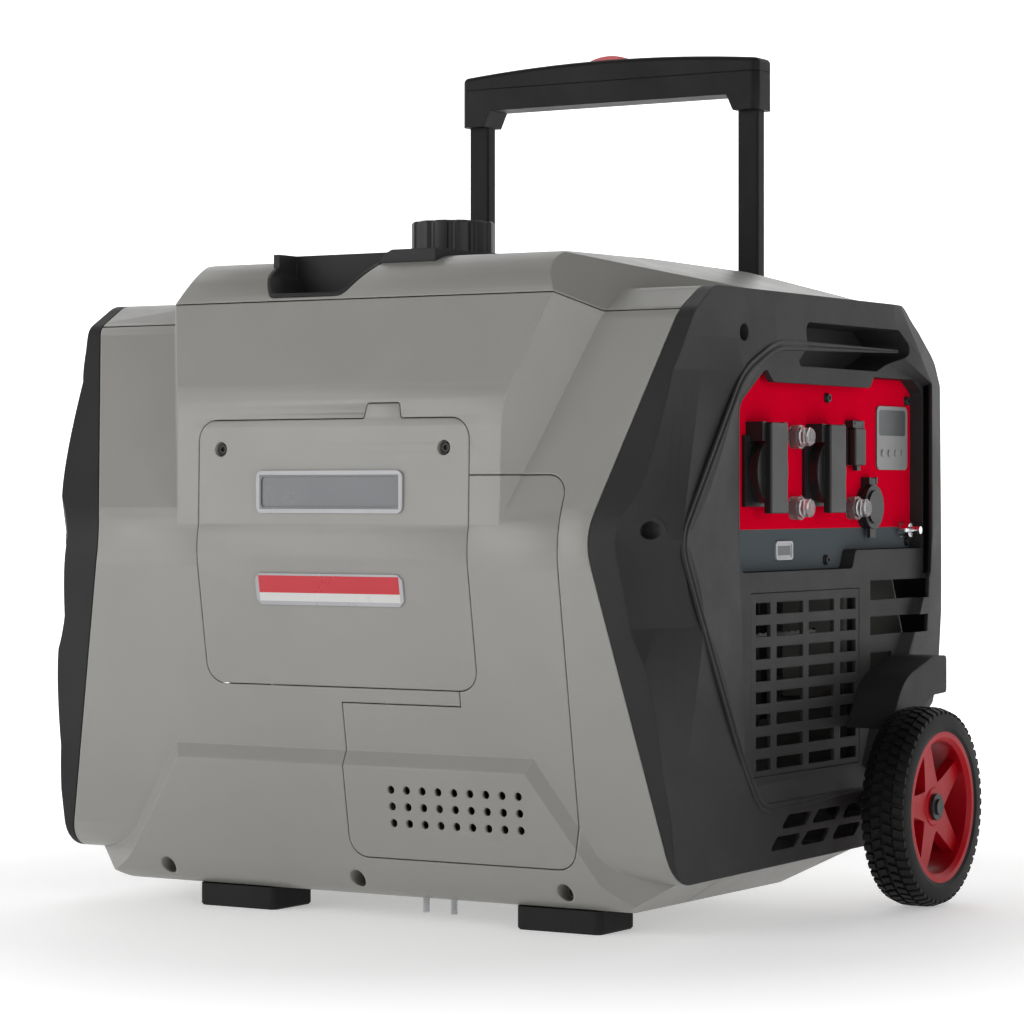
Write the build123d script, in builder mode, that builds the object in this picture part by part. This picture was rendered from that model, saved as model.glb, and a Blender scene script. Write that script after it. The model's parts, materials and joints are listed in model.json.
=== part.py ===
"""Suitcase inverter generator with two wheels and a telescopic pull handle.

Millimetres. +Z is up, +X is the control panel end, -Y is the service side,
+Y is the wheel and handle side. The origin is on the ground under the middle.
"""

from build123d import *
from math import cos, pi, sin
import os

os.makedirs("parts", exist_ok=True)

# Driving dimensions
gap = 0.8                # seam between two neighbouring covers
wall = 3.0               # thickness of a moulded cover
form_reach = 300.0       # half length of the raw casing sections
ridge_x = 267.0          # outermost plane of an end frame
dish_x = 259.0           # floor of the shallow dish inside the ridge
panel_x = 248.0          # face of the control panel
split_near = -110.0      # bottom joint, service side cover to base tray
split_far = 62.0         # bottom joint, base tray to wheel side cover
wheel_y, wheel_z = 89.5, 75.5
handle_x, handle_y = 127.6, 169.5
exhaust_extra = 9.5      # the exhaust end frame stands this much further out
cap_x, cap_y = -51.0, 2.5
shaft_y, shaft_z = 10.0, 160.0
x_way, y_way, z_way = (1, 0, 0), (0, 1, 0), (0, 0, 1)

# Outlines as (y, z, corner radius)
crease = (-243.7, 281)
end_outline = [
    (*crease, 80), (-178, 441, 20), (-146.5, 460, 25), (175.5, 460, 25),
    (235.5, 416, 14), (241.5, 398, 12), (241.5, 150, 18), (188.5, 124, 12),
    (114.5, 42, 18), (-204.8, 39, 25),
]
raised_outline = [
    (-150, 275, 0), (-239.2, 275, 0), (-237.5, 377, 90), (-195.4, 486, 42), (-20, 490, 0),
    (122, 487, 22), (147, 456, 0), (147, 275, 0),
]
belly_outline = [
    (-217.5, 128, 2), (-224, 114.5, 2), (-207.7, 17, 30), (40, 17, 8),
    (100, 41, 0), (100, 128, 0),
]
# Chevron seams between the grey covers and the end frames as (x, z, radius)
seam_loop = [
    (256, 520, 0), (251, 441, 30), (212, 281, 70), (270.3, 0, 0),
    (-278, 0, 0), (-212, 281, 70), (-262, 441, 30), (-262, 520, 0),
]
# Joint between the side covers and the top cover as (x, z)
top_joint = [(-300, 442), (-190, 442), (-166, 455), (166, 455), (190, 442), (300, 442)]
# Control end frame: level sections as z, edge, near ridge, far ridge, far edge, each (x, y)
cap_sections = [
    (28, (262, -190), (262, -76), (262, 98), (258, 140)),
    (50, (263.5, -200), (264, -78), (264, 105), (258, 140)),
    (84, (264, -207), (267, -80), (267, 112), (262, 152)),
    (118, (259.6, -219), (267, -109.5), (267, 130), (262, 185)),
    (219, (243.7, -232), (267, -169.5), (267, 190), (262, 241.5)),
    (280, (234, -241.5), (267, -203), (267, 215), (262, 241.5)),
    (399, (256, -195), (267, -109.5), (267, 213), (261, 241)),
    (423, (261, -185), (267, -58), (267, 190), (260, 226)),
    (441, (264, -178), (266, -58), (265.5, 175), (260, 201)),
    (470, (262, -140), (262, -58), (262, 150), (258, 165)),
]
ridge_outline = [
    (-203, 279), (-109.5, 399), (-58, 421), (150, 423), (212, 400), (212, 250),
    (140, 140), (112, 88), (-82, 83), (-109.5, 118), (-169.5, 219),
]
dish_outline = [
    (-104, 279), (-104, 378), (-60, 411), (150, 412), (214, 398), (214, 252),
    (118, 140), (100, 104), (-75, 100), (-93, 120), (-98, 219),
]


def outline(points, inset=0.0):
    """Closed profile from (u, v, corner radius) rows, moved inwards by inset."""
    with BuildSketch() as profile:
        with BuildLine():
            Polyline([(u, v) for u, v, _ in points], close=True)
        make_face()
        for u, v, radius in points:
            if radius:
                fillet(profile.vertices().sort_by_distance((u, v))[0], radius)
        if inset:
            offset(amount=-inset, kind=Kind.INTERSECTION)
    return profile.sketch


def plane_through(a, b, c, inset=0.0, outward=(1, -1, 0)):
    """Plane through three points, facing outward and moved inwards by inset."""
    normal = (Vector(b) - Vector(a)).cross(Vector(c) - Vector(a)).normalized()
    if normal.dot(Vector(outward)) < 0:
        normal = normal * -1
    return Plane(origin=Vector(a) - normal * inset, z_dir=normal)


def prism_x(points, low, high, inset=0.0):
    """Outline in the YZ plane, extruded from x = low to x = high."""
    with BuildPart() as body:
        with BuildSketch(Plane.YZ.offset(low)):
            add(outline(points, inset))
        extrude(amount=high - low)
    return body.part


def prism_y(points, low, high, inset=0.0):
    """Outline in the XZ plane, extruded from y = low to y = high."""
    with BuildPart() as body:
        with BuildSketch(Plane(origin=(0, high, 0), x_dir=(1, 0, 0), z_dir=(0, -1, 0))):
            add(outline(points, inset))
        extrude(amount=high - low)
    return body.part


def block(x0, x1, y0, y1, z0, z1):
    """Box between two opposite corners."""
    with BuildPart() as body:
        with BuildSketch(Plane.XY.offset(z0)):
            with Locations(((x0 + x1) / 2, (y0 + y1) / 2)):
                Rectangle(x1 - x0, y1 - y0)
        extrude(amount=z1 - z0)
    return body.part


def raised_middle(inset):
    """Raised middle section, its corners cut by a facet and a slope at each end."""
    facet = plane_through((142, -237.5, 377), (166.5, -207, 456), (190, -177.5, 443), inset)
    slope = plane_through((152, 0, 487), (252, 0, 459), (152, 50, 487), inset, (1, 0, 1))
    shoulder = plane_through((166.5, -207, 456), (190, -177.5, 443), (160, -173, 486), inset)
    with BuildPart() as middle:
        add(prism_x(raised_outline, 0, form_reach, inset))
        split(bisect_by=facet, keep=Keep.BOTTOM)
        split(bisect_by=slope, keep=Keep.BOTTOM)
        split(bisect_by=shoulder, keep=Keep.BOTTOM)
        mirror(about=Plane.YZ)
    return middle.part


def belly(inset):
    """Low middle section with the proud trapezoid pad on the service side."""
    pad_side = plane_through((158, -217.5, 128), (152, -224, 114.5), (222, -207, 17), inset)
    ramp = plane_through((219.5, 0, 17), (251, 0, 38), (251, 50, 38), inset, (1, 0, -1))
    with BuildPart() as low:
        add(prism_x(belly_outline, 0, form_reach, inset))
        split(bisect_by=pad_side, keep=Keep.BOTTOM)
        split(bisect_by=ramp, keep=Keep.BOTTOM)
        mirror(about=Plane.YZ)
    return low.part


def body_form(inset):
    """Outer form of the casing between the end frames, moved inwards by inset."""
    with BuildPart() as form:
        add(prism_x(end_outline, -form_reach, form_reach, inset))
        add(raised_middle(inset))
        add(belly(inset))
    return form.part


def save(piece, name):
    """Name a finished piece and write its STEP file."""
    piece.part.label = name
    export_step(piece.part, f"parts/{name}.step")


def rounded_block(x0, x1, y0, y1, z0, z1, radius):
    """Box with all its edges rounded."""
    with BuildPart() as body:
        add(block(x0, x1, y0, y1, z0, z1))
        fillet(body.edges(), radius)
    return body.part


def rod(start, direction, radius, length):
    """Round bar from a start point along a direction."""
    with BuildPart() as bar:
        with BuildSketch(Plane(origin=start, z_dir=direction)):
            Circle(radius)
        extrude(amount=length)
    return bar.part


def tube(start, direction, outer, inner, length):
    """Round tube from a start point along a direction."""
    with BuildPart() as pipe:
        add(rod(start, direction, outer, length))
        add(rod(start, direction, inner, length), mode=Mode.SUBTRACT)
    return pipe.part


def turned(points, start, direction):
    """Solid of revolution from (along, radius, corner radius) rows about an axis."""
    sideways = (1, 0, 0) if abs(direction[1]) > 0.5 else (0, -1, 0)
    with BuildPart() as body:
        with BuildSketch(Plane(origin=start, x_dir=direction, z_dir=sideways)):
            add(outline(points))
        revolve(axis=Axis(start, direction))
    return body.part


def screw(point, direction, radius):
    """Pan head screw with a round drive recess; the point is under its head."""
    drive = Vector(point) + Vector(direction) * (radius * 0.35)
    shank = Vector(point) - Vector(direction) * 12
    with BuildPart() as body:
        add(turned(
            [(0, 0, 0), (0, radius, 0), (radius * 0.8, radius * 0.8, 0.6), (radius * 0.8, 0, 0)],
            point, direction,
        ))
        add(rod(tuple(shank), direction, radius * 0.45, 12))
        add(rod(tuple(drive), direction, radius * 0.4, radius), mode=Mode.SUBTRACT)
    return body.part


def end_cap(inset):
    """Faceted end of the casing: edge, slope and ridge, as level sections."""
    with BuildPart() as cap:
        for z, edge, near_ridge, far_ridge, far_edge in cap_sections:
            near, far = Vector(*edge), Vector(*far_edge)
            near_out = near + (near - Vector(*near_ridge)) * 0.6
            far_out = far + (far - Vector(*far_ridge)) * 0.6
            level = [
                (180, near_out.Y), (near_out.X, near_out.Y), near_ridge,
                far_ridge, (far_out.X, far_out.Y), (180, far_out.Y),
            ]
            with BuildSketch(Plane.XY.offset(z)):
                with BuildLine():
                    Polyline([(x - (inset if x > 180 else 0), y) for x, y in level], close=True)
                make_face()
        loft(ruled=True)
    return cap.part


def dish(inset):
    """Shallow dish inside the ridge of an end frame, for cutting."""
    with BuildPart() as hollow:
        for x, points in ((ridge_x + 0.5, ridge_outline), (dish_x - inset, dish_outline)):
            with BuildSketch(Plane.YZ.offset(x)):
                with BuildLine():
                    Polyline(points, close=True)
                make_face()
        loft(ruled=True)
    return hollow.part


def frame_form(inset):
    """Solid form of the control end frame, moved inwards by inset."""
    with BuildPart() as form:
        add(end_cap(inset))
        add(prism_x(end_outline, 150, form_reach, inset), mode=Mode.INTERSECT)
        add(dish(inset), mode=Mode.SUBTRACT)
    return form.part


outer_form = body_form(0)
inner_form = body_form(wall)
covers_reach = prism_y(seam_loop, -form_reach, form_reach, gap / 2)
frames_start = prism_y(seam_loop, -form_reach, form_reach, -gap / 2)
above_joint = prism_y(
    [(x, z + gap / 2, 0) for x, z in top_joint] + [(300, 600, 0), (-300, 600, 0)],
    -form_reach, form_reach,
)
below_joint = prism_y(
    [(x, z - gap / 2, 0) for x, z in top_joint] + [(300, -50, 0), (-300, -50, 0)],
    -form_reach, form_reach,
)

# Grey covers: everything between the two seams, as one thin shell
with BuildPart() as casing:
    add(outer_form)
    add(inner_form, mode=Mode.SUBTRACT)
    add(covers_reach, mode=Mode.INTERSECT)
casing_shell = casing.part

# ---------------------------------------------------------------- service side
door_outline = [
    (-121, 172, 15), (-121, 366, 15), (26, 366, 2), (28, 377, 2), (55, 377, 2),
    (57, 366, 2), (115, 366, 15), (115, 172, 15),
]
tab_recess_outline = [(25, 366, 0), (27, 387, 4), (56, 387, 4), (58, 366, 0)]
vent_cover_outline = [
    (-2, 160, 0), (-2, 48, 15), (189, 48, 15), (189, 325, 15), (100, 325, 0), (100, 160, 0),
]
door_screw_places = [(-101.5, 345), (94, 345)]
base_screw_places = [(-173, 31), (0, 31), (176, 31)]
drain_places, drain_y = (42, 66), -180
foot_places, foot_y, foot_length = (-122, 159.5), -165, 71

with BuildPart() as service_side_cover:
    add(casing_shell)
    add(below_joint, mode=Mode.INTERSECT)
    add(block(-300, 300, -300, split_near - gap / 2, 0, 600), mode=Mode.INTERSECT)
    add(prism_y(door_outline, -300, -160, -gap), mode=Mode.SUBTRACT)
    add(prism_y(vent_cover_outline, -300, -160, -gap), mode=Mode.SUBTRACT)
    add(prism_y(tab_recess_outline, -300, -237), mode=Mode.SUBTRACT)
    for x, z in base_screw_places:
        add(rod((x, -230, z), y_way, 8.5, 42))
        add(rod((x, -300, z), y_way, 6.5, 108), mode=Mode.SUBTRACT)
        add(rod((x, -195, z), y_way, 2.3, 10), mode=Mode.SUBTRACT)
    for x in drain_places:
        add(rod((x, drain_y, 0), z_way, 2.7, 60), mode=Mode.SUBTRACT)
    for x in foot_places:
        add(rod((x, foot_y, 0), z_way, 5.1, 60), mode=Mode.SUBTRACT)
    add(outer_form, mode=Mode.INTERSECT)
save(service_side_cover, "service_side_cover")

with BuildPart() as service_door:
    add(casing_shell)
    add(prism_y(door_outline, -300, -160), mode=Mode.INTERSECT)
    for x, z in door_screw_places:
        add(rod((x, -236.5, z), y_way, 8, 9))
        add(rod((x, -260, z), y_way, 5.5, 28), mode=Mode.SUBTRACT)
        add(rod((x, -240, z), y_way, 2.3, 20), mode=Mode.SUBTRACT)
save(service_door, "service_door")

vent_columns, vent_rows, vent_pitch, vent_row_step = 9, 3, 13.45, 12.2
with BuildPart() as vent_cover:
    add(casing_shell)
    add(prism_y(vent_cover_outline, -300, -160), mode=Mode.INTERSECT)
    add(prism_y(door_outline, -300, -160, -gap), mode=Mode.SUBTRACT)
    for row in range(vent_rows):
        for column in range(vent_columns):
            hole_start = (38 + column * vent_pitch, -300, 98.4 - row * vent_row_step)
            add(rod(hole_start, y_way, 3, 130), mode=Mode.SUBTRACT)
save(vent_cover, "vent_cover")

with BuildPart() as door_plates:
    with BuildSketch(Plane.XZ.offset(235)):
        with Locations((-4, 313.5)):
            RectangleRounded(128, 31, 5)
    extrude(amount=5.4)
    with BuildSketch(Plane.XZ.offset(239.4)):
        with Locations((-4, 313.5)):
            RectangleRounded(119, 22, 3)
    extrude(amount=2, mode=Mode.SUBTRACT)
    with BuildSketch(Plane(origin=(-4.5, -235, 243.2), x_dir=x_way, z_dir=(0, -0.987, -0.159))):
        nameplate = Rectangle(129, 23.5)
        chamfer(nameplate.vertices(), 4)
    extrude(amount=4)
    add(outer_form, mode=Mode.SUBTRACT)

with BuildPart() as drain_tubes:
    for x in drain_places:
        add(tube((x, drain_y, 6), z_way, 2.5, 1.5, 36))
save(drain_tubes, "drain_tubes")

# ---------------------------------------------------------------- base and wheel side
mount_places = [(x, y) for x in (-55, 35) for y in (-50, 38)]
with BuildPart() as base_tray:
    add(casing_shell)
    tray_reach = block(-300, 300, split_near + gap / 2, split_far - gap / 2, 0, 200)
    add(tray_reach, mode=Mode.INTERSECT)
    for x, y in mount_places:
        add(rod((x, y, 18.5), z_way, 20, 40))
save(base_tray, "base_tray")

with BuildPart() as vibration_mounts:
    for x, y in mount_places:
        add(rod((x, y, 58.6), z_way, 14, 21.2))
save(vibration_mounts, "vibration_mounts")

foot_height = 16.9
with BuildPart() as feet:
    for x in foot_places:
        with BuildSketch():
            with Locations((x, foot_y)):
                RectangleRounded(foot_length, 51, 6)
        extrude(amount=foot_height)
        add(rod((x, foot_y, foot_height), z_way, 5, 12))
    chamfer(feet.faces().filter_by(Axis.Z).sort_by(Axis.Z)[:2].edges(), 1.5)
save(feet, "feet")

with BuildPart() as handle_holes:
    for x in (-handle_x, handle_x):
        add(block(x - 12.5, x + 12.5, handle_y - 9.6, handle_y + 9.6, 430, 480))

pull_x = 159.0           # plane of the recoil rope
pocket_floor = 221.0
dial_x, dial_z = 60.0, 330.0
with BuildPart() as wheel_side_cover:
    add(casing_shell)
    add(below_joint, mode=Mode.INTERSECT)
    add(block(-300, 300, split_far + gap / 2, 300, 0, 600), mode=Mode.INTERSECT)
    add(block(pull_x - 28, pull_x + 28, pocket_floor - 3, 240, 147, 253))
    add(block(pull_x - 25, pull_x + 25, pocket_floor, 260, 150, 250), mode=Mode.SUBTRACT)
    add(rod((pull_x, 200, 200), y_way, 3.2, 40), mode=Mode.SUBTRACT)
    add(rod((dial_x, 228, dial_z), y_way, 28, 12))
    add(rod((dial_x, 232, dial_z), y_way, 25, 20), mode=Mode.SUBTRACT)
    add(rod((dial_x, 220, dial_z), y_way, 4.06, 20), mode=Mode.SUBTRACT)
    for row in range(6):
        for x0 in (-150, -78, -6):
            vent = block(x0, x0 + 62, 230, 250, 190 + row * 16, 197 + row * 16)
            add(vent, mode=Mode.SUBTRACT)
    add(handle_holes.part, mode=Mode.SUBTRACT)
save(wheel_side_cover, "wheel_side_cover")

# ---------------------------------------------------------------- top cover and inlay
notch_outline = [
    (-89, 520, 0), (-89, 474, 12), (-80, 457.5, 6), (-15, 457.5, 14), (14, 489, 22),
    (50, 492, 0), (50, 520, 0),
]
notch_back = -160
with BuildPart() as top_cover:
    add(casing_shell)
    add(above_joint, mode=Mode.INTERSECT)
    add(prism_y(notch_outline, -280, notch_back), mode=Mode.SUBTRACT)
    add(rod((cap_x, cap_y, 450), z_way, 30, 60), mode=Mode.SUBTRACT)
    add(handle_holes.part, mode=Mode.SUBTRACT)
save(top_cover, "top_cover")

inlay_top = 491.6
with BuildPart() as inlay_plate:
    with BuildSketch(Plane.XY.offset(480)) as inlay_outline:
        with BuildLine():
            Polyline(
                [(-89, -230), (-96, -60), (-96, 118), (64, 118), (64, -60), (50, -230)],
                close=True,
            )
        make_face()
        fillet(inlay_outline.vertices().group_by(Axis.Y)[-1], 12)
    extrude(amount=inlay_top - 480)
    add(outer_form, mode=Mode.SUBTRACT)
    add(block(-200, 200, -300, -186, 400, 600), mode=Mode.SUBTRACT)

with BuildPart() as top_inlay:
    add(prism_y(notch_outline, -280, notch_back - 0.3, 0.4))
    add(outer_form, mode=Mode.INTERSECT)
    add(inlay_plate.part)
    add(prism_y(notch_outline, -280, notch_back - 3.3, 3.4), mode=Mode.SUBTRACT)
    add(rod((cap_x, cap_y, 450), z_way, 30, 60), mode=Mode.SUBTRACT)
save(top_inlay, "top_inlay")

# ---------------------------------------------------------------- end frames
panel_opening = [
    (-101.5, 255, 8), (-101.5, 377, 14), (-62, 402.5, 10), (194, 402.5, 10),
    (212.5, 392, 8), (212.5, 269, 5), (90, 269, 4), (84, 255, 4),
]
hand_hold = [
    (-11.5, 439.5, 8), (-5.5, 406, 6), (124, 406, 12), (178.5, 424, 6), (153.5, 440, 8),
]
panel_lip = [(-63.5, 407, 0), (-47.5, 394, 5), (115.5, 394, 5), (126.5, 407, 0)]
grille_opening = (-84, 96, 106, 240)
panel_screw_places = [(61, 385), (204, 386), (59, 262), (204.5, 274.5)]
frame_screw_places = [(-220.5, 287, 240), (-106, 428, 247)]

end_solid = frame_form(0)

with BuildPart() as end_shell_part:
    add(end_solid)
    add(frame_form(wall), mode=Mode.SUBTRACT)
end_shell = end_shell_part.part


def slots(rows, x0=225, x1=form_reach):
    """Straight slots along Y from (y0, y1, z0, z1) rows."""
    with BuildPart() as cut:
        for y0, y1, z0, z1 in rows:
            add(block(x0, x1, y0, y1, z0, z1))
    return cut.part


def slanted_slot(y, z):
    """Leaning parallelogram vent centred on (y, z)."""
    points = [(y - 26, z - 5, 2), (y + 14, z - 5, 2), (y + 26, z + 5, 2), (y - 14, z + 5, 2)]
    return prism_x(points, 235, form_reach)


axle_bore = rod((200, wheel_y, wheel_z), x_way, 6.05, 150)
vent_column = [(115.5, 209.5, 230, 245), (115.5, 209.5, 203, 217), (115.5, 154.5, 174, 189)]
lower_vents = [(-24, 72), (25.5, 72), (77, 72), (-39.5, 57), (9, 57), (61.5, 57)]

# Bosses and pocket walls stop inside the 3 mm wall, so nothing stands out of it
boss_slope = Plane(origin=(251.5, -220.5, 287), z_dir=(1, -0.857, 0))
ridge_slope = Plane(origin=(258.3, 0, 411.5), z_dir=(1, 0, -0.8))
boss_end, panel_wall_end, hold_wall_end = 264.3, 257.5, 264.8

with BuildPart() as end_bosses:
    for y, z, floor in frame_screw_places:
        add(rod((floor - 4, y, z), x_way, 9.5, boss_end - floor + 4))
    split(bisect_by=boss_slope, keep=Keep.BOTTOM)

with BuildPart() as end_recesses:
    for y, z, floor in frame_screw_places:
        add(rod((floor, y, z), x_way, 6.3, 60))
        add(rod((floor - 10, y, z), x_way, 2.3, 20))

with BuildPart() as surrounds:
    add(prism_x(hand_hold, 222, hold_wall_end, -3))
    split(bisect_by=ridge_slope, keep=Keep.BOTTOM)
    add(prism_x(hand_hold, 222, panel_wall_end, -3))
    add(prism_x(panel_opening, 241, panel_wall_end, -3))

with BuildPart() as control_end_frame:
    add(end_shell)
    add(frames_start, mode=Mode.SUBTRACT)
    add(surrounds.part)
    add(end_bosses.part)
    add(prism_x(panel_opening, 244.8, form_reach), mode=Mode.SUBTRACT)
    add(prism_x(panel_opening, 200, 250, 5), mode=Mode.SUBTRACT)
    add(prism_x(hand_hold, 225, form_reach), mode=Mode.SUBTRACT)
    for y, z in panel_screw_places:
        add(rod((230, y, z), x_way, 1.9, 20), mode=Mode.SUBTRACT)
    add(prism_x(panel_lip, 254, 259))
    add(slots([grille_opening, *vent_column]), mode=Mode.SUBTRACT)
    for y, z in lower_vents:
        add(slanted_slot(y, z), mode=Mode.SUBTRACT)
    add(end_recesses.part, mode=Mode.SUBTRACT)
    add(axle_bore, mode=Mode.SUBTRACT)
save(control_end_frame, "control_end_frame")


def exhaust_side(piece):
    """The same piece turned to the exhaust end, which stands further out."""
    with BuildPart() as turned_piece:
        add(piece)
        mirror(about=Plane.YZ.offset(-exhaust_extra / 2), mode=Mode.REPLACE)
    return turned_piece.part


def exhaust_wheel(piece):
    """The same wheel part on the other end of the axle line."""
    with BuildPart() as turned_piece:
        add(piece)
        mirror(about=Plane.YZ, mode=Mode.REPLACE)
    return turned_piece.part


exhaust_opening = (-82, 98, 106, 300)
with BuildPart() as exhaust_end_frame:
    add(exhaust_side(end_shell))
    add(frames_start, mode=Mode.SUBTRACT)
    add(exhaust_side(end_bosses.part))
    add(exhaust_side(slots([exhaust_opening])), mode=Mode.SUBTRACT)
    add(exhaust_side(end_recesses.part), mode=Mode.SUBTRACT)
    add(exhaust_side(axle_bore), mode=Mode.SUBTRACT)
    for y, z in lower_vents:
        add(exhaust_side(slanted_slot(y, z)), mode=Mode.SUBTRACT)
save(exhaust_end_frame, "exhaust_end_frame")

# ---------------------------------------------------------------- grilles and brackets
slot_columns = [(-76, -52.7), (-43, 0.3), (9.5, 52.4), (63, 90)]
slot_pitch, slot_height = 16.2, 8.6
slot_rows = [
    (y0, y1, 115 + row * slot_pitch - slot_height / 2, 115 + row * slot_pitch + slot_height / 2)
    for row in range(8)
    for y0, y1 in slot_columns
]
with BuildPart() as front_grille:
    y0, y1, z0, z1 = grille_opening
    add(block(255.8, 258.8, y0 + 0.4, y1 - 0.4, z0 + 0.4, z1 - 0.4))
    add(block(250, 255.8, y0 + 0.4, y1 - 0.4, z0 + 0.4, z1 - 0.4))
    add(block(249, 255.7, y0 + 3, y1 - 3, z0 + 3, z1 - 3), mode=Mode.SUBTRACT)
    add(slots(slot_rows), mode=Mode.SUBTRACT)
save(front_grille, "front_grille")

tail_y, tail_z = 10.0, 190.0
with BuildPart() as exhaust_grille:
    y0, y1, z0, z1 = exhaust_opening
    add(block(-268.2, -265.2, y0 + 0.4, y1 - 0.4, z0 + 0.4, z1 - 0.4))
    for row in range(10):
        z = z0 + 16 + row * 17
        for low in (y0 + 10, 14):
            add(block(-275, -260, low, low + 72, z, z + 9), mode=Mode.SUBTRACT)
    add(rod((-270, tail_y, tail_z), x_way, 30, 6))
    add(rod((-280, tail_y, tail_z), x_way, 22, 30), mode=Mode.SUBTRACT)
save(exhaust_grille, "exhaust_grille")

bracket_face = 296.0
bracket_outline = [
    (72.5, 134, 0), (98, 171, 45), (150.5, 186, 30), (176, 186, 4), (176, 157, 3),
    (150, 156, 25), (110.5, 134, 0),
]
with BuildPart() as control_bracket:
    add(prism_x(bracket_outline, 255, bracket_face))
    add(end_solid, mode=Mode.SUBTRACT)

with BuildPart() as exhaust_bracket:
    add(exhaust_side(control_bracket.part))
    split(bisect_by=Plane.YZ.offset(-bracket_face), keep=Keep.TOP)

with BuildPart() as wheel_brackets:
    add(control_bracket.part)
    add(exhaust_bracket.part)
save(wheel_brackets, "wheel_brackets")

# ---------------------------------------------------------------- wheels
wheel_radius, wheel_width, wheel_inner = 75.5, 36.0, 297.0
rim_radius, hub_radius, axle_radius = 57.0, 15.0, 6.0
spoke_count = 5
wheel_middle = wheel_inner + wheel_width / 2

with BuildPart() as control_tyre:
    add(turned(
        [
            (-18, rim_radius + 0.4, 1), (-18, 70, 8), (-12, wheel_radius, 5),
            (12, wheel_radius, 5), (18, 70, 8), (18, rim_radius + 0.4, 1),
        ],
        (wheel_middle, wheel_y, wheel_z), x_way,
    ))

spoke_outline = [
    (12, -12, 0), (24, -9.5, 8), (54.5, -5.5, 0), (54.5, 5.5, 0), (24, 9.5, 8), (12, 12, 0),
]
with BuildPart() as control_rim:
    add(turned(
        [(-17, rim_radius, 0), (-17, 53, 0), (14, 50, 0), (17, 53, 0), (17, rim_radius, 0)],
        (wheel_middle, wheel_y, wheel_z), x_way,
    ))
    add(turned(
        [(-17, 0, 0), (-17, hub_radius, 0), (10, hub_radius, 2), (10, 0, 0)],
        (wheel_middle, wheel_y, wheel_z), x_way,
    ))
    with BuildSketch(Plane(origin=(wheel_middle, wheel_y, wheel_z), z_dir=x_way)):
        with PolarLocations(0, spoke_count, start_angle=14):
            add(outline(spoke_outline))
    extrude(amount=9)
    add(rod((250, wheel_y, wheel_z), x_way, axle_radius + 0.06, 100), mode=Mode.SUBTRACT)
save(control_tyre, "tyre_control_end")
save(control_rim, "rim_control_end")

with BuildPart() as exhaust_tyre:
    add(exhaust_wheel(control_tyre.part))
save(exhaust_tyre, "tyre_exhaust_end")

with BuildPart() as exhaust_rim:
    add(exhaust_wheel(control_rim.part))
save(exhaust_rim, "rim_exhaust_end")

with BuildPart() as axles:
    for side, frame_face in ((1, 268.2), (-1, 268.2 + exhaust_extra)):
        outward = (side, 0, 0)
        add(rod((side * 236, wheel_y, wheel_z), outward, axle_radius, 94))
        spacer = wheel_inner - 0.4 - frame_face
        add(rod((side * frame_face, wheel_y, wheel_z), outward, 11, spacer))
        add(rod((side * 240, wheel_y, wheel_z), outward, 11, 8))
        add(rod((side * (wheel_middle + 10.4), wheel_y, wheel_z), outward, 10, 2.6))
save(axles, "axles")

# ---------------------------------------------------------------- control panel
socket_places = [(-51.5, 328.7), (46.0, 328.7)]
breaker_places = [(4.8, 354.6), (4.8, 301.5), (102.4, 301.2)]
usb_y, usb_z = 103.5, 349.0
dc_y, dc_z = 129.0, 302.0
earth_y, earth_z = 193.3, 283.4
face_x = panel_x + 0.05

with BuildPart() as control_panel:
    add(prism_x(panel_opening, 244.9, panel_x, 0.4))
    for y, z in socket_places:
        add(rod((240, y, z), x_way, 22.3, 20), mode=Mode.SUBTRACT)
    for y, z in breaker_places:
        add(rod((240, y, z), x_way, 6.3, 20), mode=Mode.SUBTRACT)
    add(rod((240, dc_y, dc_z), x_way, 14.3, 20), mode=Mode.SUBTRACT)
    add(block(240, 260, usb_y - 8, usb_y + 8, usb_z - 13, usb_z + 13), mode=Mode.SUBTRACT)
    add(rod((240, earth_y, earth_z), x_way, 4.1, 20), mode=Mode.SUBTRACT)
    for y, z in panel_screw_places:
        add(rod((240, y, z), x_way, 2.2, 20), mode=Mode.SUBTRACT)
save(control_panel, "control_panel")

hinge_x, hinge_rise, pin_radius = 258.0, 32.0, 1.5
with BuildPart() as outlet_bodies:
    for y, z in socket_places:
        add(block(face_x, 251.2, y - 26, y + 26, z - 26, z + 26))
        add(rod((218, y, z), x_way, 22, 36))
        add(rod((250, y, z), x_way, 23.5, 7))
        add(rod((240, y, z), x_way, 19.5, 20), mode=Mode.SUBTRACT)
        for offset_y in (-9.5, 9.5):
            add(rod((226, y + offset_y, z), x_way, 2.6, 20), mode=Mode.SUBTRACT)
        hinge_z = z + hinge_rise
        for lug_y in (y - 17, y + 17):
            add(block(face_x, hinge_x + 4, lug_y - 2.8, lug_y + 2.8, z + 22, hinge_z + 4))
        add(rod((hinge_x, y - 19, hinge_z), y_way, pin_radius, 38))
save(outlet_bodies, "outlet_bodies")


def outlet_lid(y, z):
    """Round spring lid with its bar and the knuckle on the hinge pin."""
    hinge_z = z + hinge_rise
    with BuildPart() as lid:
        add(rod((hinge_x - 0.6, y, z), x_way, 24.5, 3))
        add(rounded_block(259.5, 266, y - 13.5, y + 13.5, z - 31, hinge_z + 3.5, 1.5))
        add(rod((hinge_x, y - 13.5, hinge_z), y_way, 4, 27))
        add(rod((hinge_x, y - 15, hinge_z), y_way, pin_radius + 0.06, 30), mode=Mode.SUBTRACT)
    return lid


lid_a = outlet_lid(*socket_places[0])
save(lid_a, "outlet_lid_near")
lid_b = outlet_lid(*socket_places[1])
save(lid_b, "outlet_lid_far")

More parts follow.
